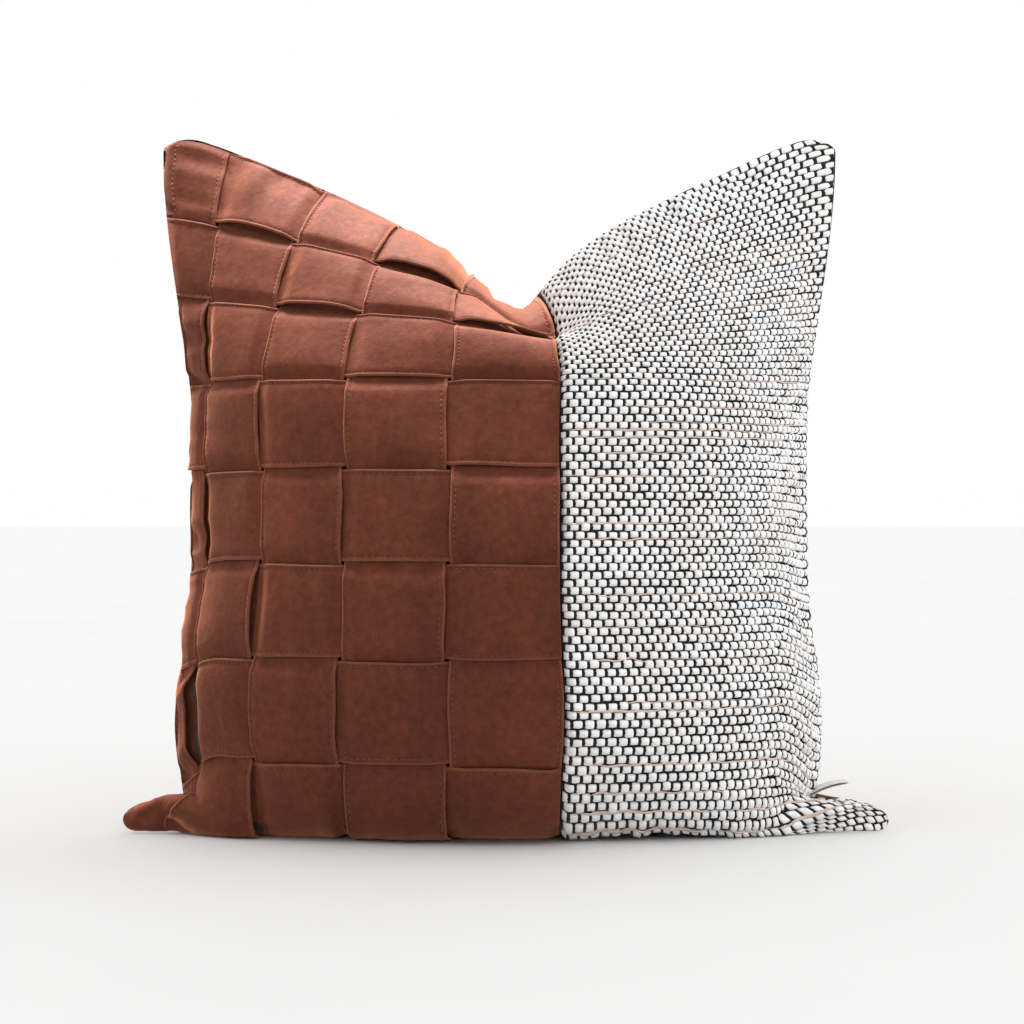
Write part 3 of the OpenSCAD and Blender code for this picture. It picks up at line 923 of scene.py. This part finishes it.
def make_strip(context, strip, form, leather, material):
    """One leather strip, with a fold along both edges and its ends tucked under."""
    gaps = np.array(FOLD_LINES)
    stations = set(np.round(np.arange(strip.start, strip.end, LINE_STEP), 6)) | {strip.start, strip.end}
    for place in strip.crossings:
        near = np.arange(-OVER_RUN, OVER_RUN + CROSSING_STEP / 2, CROSSING_STEP)
        stations |= set(np.round(place + near, 6))
    stations = np.array(sorted(place for place in stations if strip.start <= place <= strip.end))
    across_count = 2 * len(gaps)
    bm = unit_slab(len(stations) - 1, across_count)
    unit = read_points(bm)
    along = stations[np.rint(unit[:, 0] * (len(stations) - 1)).astype(int)]
    index = np.rint(unit[:, 1] * across_count).astype(int)
    low, high = strip.edge(along, -1), strip.edge(along, 1)
    half = (high - low) / 2
    from_low = np.append(gaps, 0)[np.minimum(index, len(gaps))]
    from_high = np.append(gaps, 0)[np.minimum(across_count - index, len(gaps))]
    gap = np.where(index < len(gaps), from_low, from_high)
    gap = np.minimum(gap, half * WIDEST_GAP)
    centre = (low + high) / 2
    place = np.where(index < len(gaps), low + gap, np.where(index > len(gaps), high - gap, centre))
    gap = np.where(index == len(gaps), half, gap)
    height = strip.height(along, (place - centre) / half)
    top = unit[:, 2] > -0.5
    face = fold_round(gap) + ridge(gap, *BEAD) + ridge(gap, GROOVE[0], leather.stitch_inset, GROOVE[1])
    under = -STRIP_THICK - fold_round(gap)
    flat = strip.flat(along, place, height + np.where(top, face, under))
    points = drape(form, flat, FRONT)
    # Painted highlight along the folds, on the top face of the cells that lie over.
    rim_highlight = ridge(gap, *PAINTED_RIM_HIGHLIGHT) * strip.is_over(along) * top
    name = f"{strip.kind}_leather_{strip.number}"
    node = f"{strip.kind}_strip_{strip.number}"
    upright = strip.kind == "warp"
    return add_piece(
        context, name, bm, points, material, replaces=(node,), flip=upright, marks={"rim_highlight": rim_highlight}
    )


def all_strips(form, leather):
    """The eight strips across and the five upright ones."""
    kinds = [("weft", number) for number in range(1, ROWS + 1)]
    kinds += [("warp", number) for number in range(1, COLUMNS + 1)]
    return [Strip(form, leather, kind, number) for kind, number in kinds]


class PILLOW_OT_leather_strips(bpy.types.Operator):
    """Makes the thirteen folded leather strips of the weave"""

    bl_idname = "pillow.leather_strips"
    bl_label = "Leather strips"

    def execute(self, context):
        form, leather = context.scene.pillow_form, context.scene.pillow_leather
        material = suede("Brown suede", leather.dark, leather.light, leather.rim_highlight)
        for strip in all_strips(form, leather):
            make_strip(context, strip, form, leather, material)
        return {"FINISHED"}


class PILLOW_OT_strip_stitches(bpy.types.Operator):
    """Sews the stitches along the folded edges that lie uppermost"""

    bl_idname = "pillow.strip_stitches"
    bl_label = "Strip stitches"

    def execute(self, context):
        form, leather = context.scene.pillow_form, context.scene.pillow_leather
        material = yarn("Brown thread", [channel * 1.15 for channel in leather.light], 0.2)
        centres = []
        lies_along = []
        for strip in all_strips(form, leather):
            along = np.arange(strip.start + STITCH_END, strip.end - STITCH_END, leather.stitch_pitch)
            along = along[strip.is_over(along) & (strip.from_crossing(along) > STITCH_CLEAR)]
            for side in (-1, 1):
                place = strip.edge(along, side) - side * leather.stitch_inset
                half = (strip.edge(along, 1) - strip.edge(along, -1)) / 2
                share = side * (1 - leather.stitch_inset / half)
                height = strip.height(along, share) - STITCH_SINK
                centres.append(strip.flat(along, place, height))
                lies_along += [strip.kind == "weft"] * len(along)
        centres = np.concatenate(centres)
        lies_along = np.array(lies_along)
        bm = bmesh.new()
        bmesh.ops.create_uvsphere(bm, u_segments=6, v_segments=4, radius=1.0)
        repeat(bm, len(centres), (TUBE_STEP, 0, 0))
        unit = read_points(bm)
        number = np.rint(unit[:, 0] / TUBE_STEP).astype(int)
        ball = unit - np.outer(number, (TUBE_STEP, 0, 0))
        long, wide = leather.stitch_pitch * STITCH_SHARE, STITCH_WIDE
        across_strip, along_strip = ball[:, [0, 1]] * [long, wide], ball[:, [1, 0]] * [wide, long]
        turned = np.where(lies_along[number][:, None], across_strip, along_strip)
        flat = centres[number] + np.column_stack([turned, ball[:, 2] * STITCH_HIGH])
        mirrored = [f for f in bm.faces if not lies_along[int(round(f.calc_center_median().x / TUBE_STEP))]]
        bmesh.ops.reverse_faces(bm, faces=mirrored)
        add_piece(context, "strip_stitches", bm, drape(form, flat, FRONT), material)
        return {"FINISHED"}


def towards_ends(place):
    """Draws mesh lines towards both ends of a span of 0 to 1."""
    return mix(place, 0.5 - 0.5 * np.cos(math.pi * place), END_DRAW)


def sheet_piece(context, name, form, side, span, top, thick, material, counts, node, ends=None):
    """A plain sheet of the cover between two places across it, made flat and draped."""
    bm = unit_slab(*counts)
    unit = read_points(bm)
    u = mix(span[0], span[1], towards_ends(unit[:, 0]) if ends is None else unit[:, 0])
    v = form.cover_size * towards_ends(unit[:, 1])
    height = top + unit[:, 2] * thick
    if ends is not None:
        height = height + ends(u)
    points = drape(form, np.stack([u, v, height], axis=-1), side)
    return add_piece(context, name, bm, points, material, replaces=(node,), flip=side == BACK)


class PILLOW_OT_woven_lining(bpy.types.Operator):
    """Makes the lining that shows in the gaps of the weave, coloured near black as painted shade in the gaps
    """

    bl_idname = "pillow.woven_lining"
    bl_label = "Woven lining"

    def execute(self, context):
        form, leather = context.scene.pillow_form, context.scene.pillow_leather
        # Near-black lining: painted shade in the gaps of the weave.
        material = plain_weave("Shade-dark lining", LINING_SHADE, 260)
        span = (-form.cover_size / 2, panel_seam(form, leather))
        obj = sheet_piece(
            context, "woven_lining", form, FRONT, span, LINING_TOP, CLOTH_THICK, material,
            (60, 100), "weave_lining",
        )
        return {"FINISHED"}


# ---------------------------------------------------------------- tweed


def tweed_sink(u, seam):
    """How far the tweed sinks into the panel seam."""
    return -SEAM_SINK * (1 - smooth((u - seam) / SEAM_RUN))


def pebble_tubes(tweed, form, seam, rows, count, rng):
    """The thick yarns: rows of pebbles that dive under the binding threads."""
    rings = len(PEBBLE_PLACES)
    bm = unit_tubes(len(rows), rings * count, PEBBLE_SIDES)
    unit, row, cross = tube_points(bm)
    number = np.clip((unit[:, 0] / rings).astype(int), 0, count - 1)
    turn = np.floor(unit[:, 0] / rings)
    ring = np.clip(np.rint(unit[:, 0] - rings * turn).astype(int) % rings, 0, rings - 1)
    places = np.array(PEBBLE_PLACES)[ring]
    neck = ring == 0
    full = np.where(neck, PEBBLE_NECK, np.where(np.abs(places - 0.5) < 0.2, 1.0, PEBBLE_SHOULDER))
    real_row = np.array(rows)[row]
    offset = np.where(real_row % 2 == 0, 0.0, 0.5)
    along = (np.floor(unit[:, 0] / rings + 1e-6) + places + offset - ROW_START) * tweed.pebble_pitch
    uneven = [rng.uniform(-1, 1, (len(rows), count + 1))[row, number] for _ in range(3)]
    size = 1 + SIZE_SPREAD * uneven[0]
    u = seam + np.clip(along, 0.0012, form.cover_size / 2 - seam - 0.0002)
    half = cross * full * size * tweed.row_pitch * PEBBLE_WIDE
    v = (real_row + 0.5) * tweed.row_pitch + half + SHIFT_SPREAD * uneven[1]
    centre = -PEBBLE_SINK - NECK_SINK * neck + BOB_SPREAD * uneven[2]
    height = centre + unit[:, 2] * full * size * PEBBLE_HIGH
    height = height + tweed_sink(u, seam)
    return bm, np.stack([u, np.clip(v, 0, form.cover_size), height], axis=-1)


class PILLOW_OT_tweed(bpy.types.Operator):
    """Makes the tweed half: its ground, thick yarns, binding threads and slubs"""

    bl_idname = "pillow.tweed"
    bl_label = "Tweed"

    def execute(self, context):
        form, leather = context.scene.pillow_form, context.scene.pillow_leather
        tweed = context.scene.pillow_tweed
        rng = np.random.default_rng(5)
        seam = panel_seam(form, leather)
        wide = form.cover_size / 2 - seam
        count = int(round(wide / tweed.pebble_pitch)) + 1
        total = int(round(form.cover_size / tweed.row_pitch))
        wool = yarn("Cream wool", tweed.wool, 0.1)
        for name, rows in (("lower", range(0, total // 2)), ("upper", range(total // 2, total))):
            bm, flat = pebble_tubes(tweed, form, seam, list(rows), count, rng)
            points = drape(form, flat, FRONT)
            add_piece(context, f"tweed_yarn_{name}", bm, points, wool)
        self.threads(context, form, tweed, seam, count, total)
        self.slubs(context, form, tweed, seam, wide, total, rng)
        ground = yarn("Tweed ground", GROUND_GREY, 0.4, 0.1)
        obj = sheet_piece(
            context, "tweed_ground", form, FRONT, (seam, form.cover_size / 2), GROUND_TOP, GROUND_THICK,
            ground, (50, 100), "tweed_panel", ends=lambda u: tweed_sink(u, seam),
        )
        flat = (wide, form.cover_size)
        return {"FINISHED"}

    def threads(self, context, form, tweed, seam, count, total):
        """Black threads that bind the thick yarns, over one row and under the next."""
        lines = 2 * count - 1
        bm = unit_tubes(lines, total * 2, 4)
        unit, line, cross = tube_points(bm)
        v = unit[:, 0] / 2 * tweed.row_pitch
        row = unit[:, 0] / 2 - 0.5
        on_top = 0.5 + 0.5 * np.cos(math.pi * (row - line % 2))
        place = (line / 2 - ROW_START) * tweed.pebble_pitch
        u = seam + np.clip(place, 0.0006, form.cover_size / 2 - seam - 0.0004)
        width = THREAD_WIDE * (0.7 + 0.3 * on_top)
        height = mix(THREAD_LOW, THREAD_TOP, on_top) + unit[:, 2] * THREAD_HIGH + tweed_sink(u, seam)
        flat = np.stack([u + cross * width, v, height], axis=-1)
        material = yarn("Black thread", tweed.thread, 0.3, 0.1)
        return add_piece(context, "tweed_threads", bm, drape(form, flat, FRONT), material, flip=True)

    def slubs(self, context, form, tweed, seam, wide, total, rng):
        """Thin loose yarns that lie between some of the rows."""
        bm = unit_tubes(tweed.slub_count, SLUB_RINGS, 5)
        unit, line, cross = tube_points(bm)
        rows = np.sort(rng.choice(np.arange(2, total - 2), tweed.slub_count, replace=False))[line]
        begin = rng.uniform(0.0, 0.5, tweed.slub_count)[line] ** 2
        reach = rng.uniform(0.35, 1.0, tweed.slub_count)[line]
        place = unit[:, 0] / SLUB_RINGS
        share = np.clip(begin + place * reach, 0.004, 0.996)
        u = seam + wide * share
        thin = 0.55 + 0.45 * waves(u, line * 0.31, 0.04, 71)
        taper = np.minimum(1, 12 * np.minimum(place, 1 - place) + 0.1)
        radius = SLUB_RADIUS * np.clip(thin, 0.15, 1.3) * taper
        wander = SLUB_WANDER * waves(u, line * 0.17, 0.013, 72)
        v = rows * tweed.row_pitch + wander + cross * radius
        height = -SLUB_SINK + unit[:, 2] * radius + tweed_sink(u, seam)
        material = yarn("Slub yarn", tweed.slub, 0.2)
        flat = np.stack([u, v, height], axis=-1)
        return add_piece(context, "tweed_slubs", bm, drape(form, flat, FRONT), material)


# ---------------------------------------------------------------- back, insert, zip and label


class PILLOW_OT_back_panel(bpy.types.Operator):
    """Makes the plain suede back of the cover"""

    bl_idname = "pillow.back_panel"
    bl_label = "Back panel"

    def execute(self, context):
        form, leather = context.scene.pillow_form, context.scene.pillow_leather
        material = suede("Back suede", leather.dark, leather.light, leather.rim_highlight)
        half = form.cover_size / 2
        obj = sheet_piece(
            context, "suede_back", form, BACK, (-half, half), 0.0, BACK_THICK, material,
            (150, 150), "back_panel",
        )
        # The back has no painted highlight along its edges.
        no_highlight = np.zeros(len(obj.data.vertices), np.float32)
        obj.data.attributes.new("rim_highlight", "FLOAT", "POINT").data.foreach_set("value", no_highlight)
        return {"FINISHED"}


class PILLOW_OT_insert(bpy.types.Operator):
    """Makes the stuffed insert: two casing sheets and the filling"""

    bl_idname = "pillow.insert"
    bl_label = "Insert"

    def execute(self, context):
        cotton = plain_weave("Casing cotton", CASING_COTTON, 420)
        for side in ("front", "back"):
            name = f"casing_{side}"
            obj = copy_of_node(context, name, f"insert_{name}", cotton, "casing", smooth_levels=1)
        fibre = yarn("Loose fibre", FIBRE_WHITE, 0.08, fibre=500)
        obj = copy_of_node(context, "fibre_filling", "insert_filling", fibre, "filling", smooth_levels=1)
        return {"FINISHED"}


class PILLOW_OT_zip(bpy.types.Operator):
    """Makes the hidden zip: tapes, teeth, stops, slider and pull tab"""

    bl_idname = "pillow.zip"
    bl_label = "Zip"

    def execute(self, context):
        tape = plain_weave("Zip tape", TAPE_BROWN, 700)
        nylon = hard("Zip nylon", NYLON_BROWN, 0.0, (0.35, 0.55))
        metal = hard("Zip metal", ZIP_STEEL, 1.0, (0.22, 0.42))
        for side in ("front", "back"):
            obj = copy_of_node(context, f"tape_{side}", f"zip_tape_{side}", tape, "zip_tape", edge=0.00012)
            copy_of_node(context, f"teeth_{side}", f"zip_teeth_{side}", nylon, "zip_teeth", edge=0.0003)
        copy_of_node(context, "end_stops", "zip_stops", metal, "zip_metal", edge=0.0003)
        copy_of_node(context, "slider", "zip_slider", metal, "zip_metal", "slider", edge=0.00025)
        copy_of_node(context, "pull_tab", "zip_pull_tab", metal, "zip_metal", "pull_tab", edge=0.0002)
        return {"FINISHED"}


class PILLOW_OT_care_label(bpy.types.Operator):
    """Makes the blank folded label at the right bottom corner"""

    bl_idname = "pillow.care_label"
    bl_label = "Care label"

    def execute(self, context):
        low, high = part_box("care_label")
        size = high - low
        bm = bmesh.new()
        bmesh.ops.create_grid(bm, x_segments=40, y_segments=8, size=0.5)
        reach = math.hypot(size.x, size.z)
        turn = math.atan2(size.z, size.x)
        for vert in bm.verts:
            along = vert.co.x + 0.5
            there = min(1.0, 2 * along) if along < 0.5 else 2 * (1 - along)
            fold = LABEL_OPEN * math.sqrt(max(0.0, 1 - there**6))
            lift = (fold if along > 0.5 else -fold * 0.6) + LABEL_ARCH * math.sin(math.pi * there)
            point = Vector((reach * there, vert.co.y * size.y, lift))
            point.rotate(Matrix.Rotation(-turn, 3, "Y"))
            vert.co = point + Vector((low.x, (low.y + high.y) / 2, low.z))
        bmesh.ops.recalc_face_normals(bm, faces=bm.faces)
        satin = plain_weave("Label satin", LABEL_WHITE, 900, (0.35, 0.55), {"Sheen Weight": 0.3})
        obj = add_piece(context, "folded_label", bm, None, satin, replaces=("care_label",))
        wall = obj.modifiers.new("Cloth", "SOLIDIFY")
        wall.thickness = LABEL_THICK
        wall.offset = 0.0
        return {"FINISHED"}


# ---------------------------------------------------------------- stage


class PILLOW_OT_stage(bpy.types.Operator):
    """Sets up the floor, the studio light and the camera"""

    bl_idname = "pillow.stage"
    bl_label = "Stage"

    def execute(self, context):
        studio = context.scene.pillow_studio
        scene = context.scene
        bm = bmesh.new()
        bmesh.ops.create_grid(bm, x_segments=2, y_segments=2, size=30.0)
        bmesh.ops.translate(bm, verts=bm.verts, vec=(0, 0, -0.0004))
        mesh = bpy.data.meshes.new("floor")
        bm.to_mesh(mesh)
        bm.free()
        floor = bpy.data.objects.new("floor", mesh)
        scene.collection.objects.link(floor)

        def base(tree, coords):
            tone = rgba(studio.floor)
            return ramp(tree, noise(tree, coords, 3, 2), ((0.3, rgba(studio.floor, 0.98)), (0.7, tone)))

        def roughness(tree, coords):
            return scaled(tree, noise(tree, coords, 8), 0.7, 0.8)

        def bumps(tree, coords):
            return ((noise(tree, coords, 400), 0.05, 0.0001),)

        constants = {"Specular IOR Level": 0.1}
        mesh.materials.append(finish_material("Pale floor", base, roughness, bumps, constants))
        floor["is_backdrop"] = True
        world = bpy.data.worlds.new("Studio")
        world.use_nodes = True
        background = world.node_tree.nodes["Background"]
        background.inputs["Color"].default_value = WHITE
        background.inputs["Strength"].default_value = 1.0
        scene.world = world
        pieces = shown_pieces()
        brown = [piece for piece in pieces if piece.name.startswith(("weft", "warp", "suede", "strip"))]
        pale = [piece for piece in pieces if piece.name.startswith("tweed")]
        self.lamp(scene, "Key light", studio.key_power, 1.1, (-0.15, 0.35, 1.75), pieces)
        self.lamp(scene, "Tweed light", studio.tweed_power, 0.9, (1.6, -0.5, 1.0), pale)
        self.lamp(scene, "Suede light", studio.suede_power, 0.9, (-0.10, 0.20, 1.7), brown)
        lens = bpy.data.cameras.new("Camera")
        lens.sensor_width = 36.0
        lens.lens = lens.sensor_width * studio.camera_distance / studio.view_width
        camera = bpy.data.objects.new("Camera", lens)
        camera.location = (studio.camera_side, -studio.camera_distance, studio.camera_height)
        camera.rotation_euler = (math.radians(90), 0, 0)
        scene.collection.objects.link(camera)
        scene.camera = camera
        scene.view_settings.view_transform = "Standard"
        return {"FINISHED"}

    def lamp(self, scene, name, power, size, place, lit):
        """A soft square lamp that faces the middle of the pillow and lights only some pieces."""
        light = bpy.data.lights.new(name, "AREA")
        light.energy = power
        light.size = size
        obj = bpy.data.objects.new(name, light)
        obj.location = place
        aim = Vector((0, 0, 0.2)) - Vector(place)
        obj.rotation_euler = aim.to_track_quat("-Z", "Y").to_euler()
        scene.collection.objects.link(obj)
        group = bpy.data.collections.new(name)
        for piece in lit:
            group.objects.link(piece)
        obj.light_linking.receiver_collection = group


class PILLOW_PT_panel(bpy.types.Panel):
    """Sizes, colours and makers of the pillow"""

    bl_idname = "PILLOW_PT_panel"
    bl_label = "Woven pillow"
    bl_space_type = "VIEW_3D"
    bl_region_type = "UI"
    bl_category = "Pillow"

    def draw(self, context):
        for group in GROUPS:
            box = self.layout.box()
            box.label(text=GROUPS[group].__doc__)
            for name in GROUPS[group].__annotations__:
                box.prop(getattr(context.scene, group), name)
        for operator in OPERATORS:
            self.layout.operator(operator.bl_idname)


GROUPS = {
    "pillow_form": PillowForm,
    "pillow_leather": WovenLeather,
    "pillow_tweed": TweedCloth,
    "pillow_studio": StudioLight,
}
OPERATORS = (
    PILLOW_OT_insert,
    PILLOW_OT_leather_strips,
    PILLOW_OT_strip_stitches,
    PILLOW_OT_woven_lining,
    PILLOW_OT_tweed,
    PILLOW_OT_back_panel,
    PILLOW_OT_zip,
    PILLOW_OT_care_label,
    PILLOW_OT_stage,
)


def register():
    for group in GROUPS.values():
        bpy.utils.register_class(group)
    for operator in OPERATORS:
        bpy.utils.register_class(operator)
    bpy.utils.register_class(PILLOW_PT_panel)
    for name, group in GROUPS.items():
        setattr(bpy.types.Scene, name, PointerProperty(type=group))


def unregister():
    for name in GROUPS:
        delattr(bpy.types.Scene, name)
    bpy.utils.unregister_class(PILLOW_PT_panel)
    for operator in reversed(OPERATORS):
        bpy.utils.unregister_class(operator)
    for group in GROUPS.values():
        bpy.utils.unregister_class(group)


def main():
    """Makes every piece and the stage."""
    register()
    for operator in OPERATORS:
        family, name = operator.bl_idname.split(".")
        getattr(getattr(bpy.ops, family), name)()


if __name__ == "__main__":
    main()
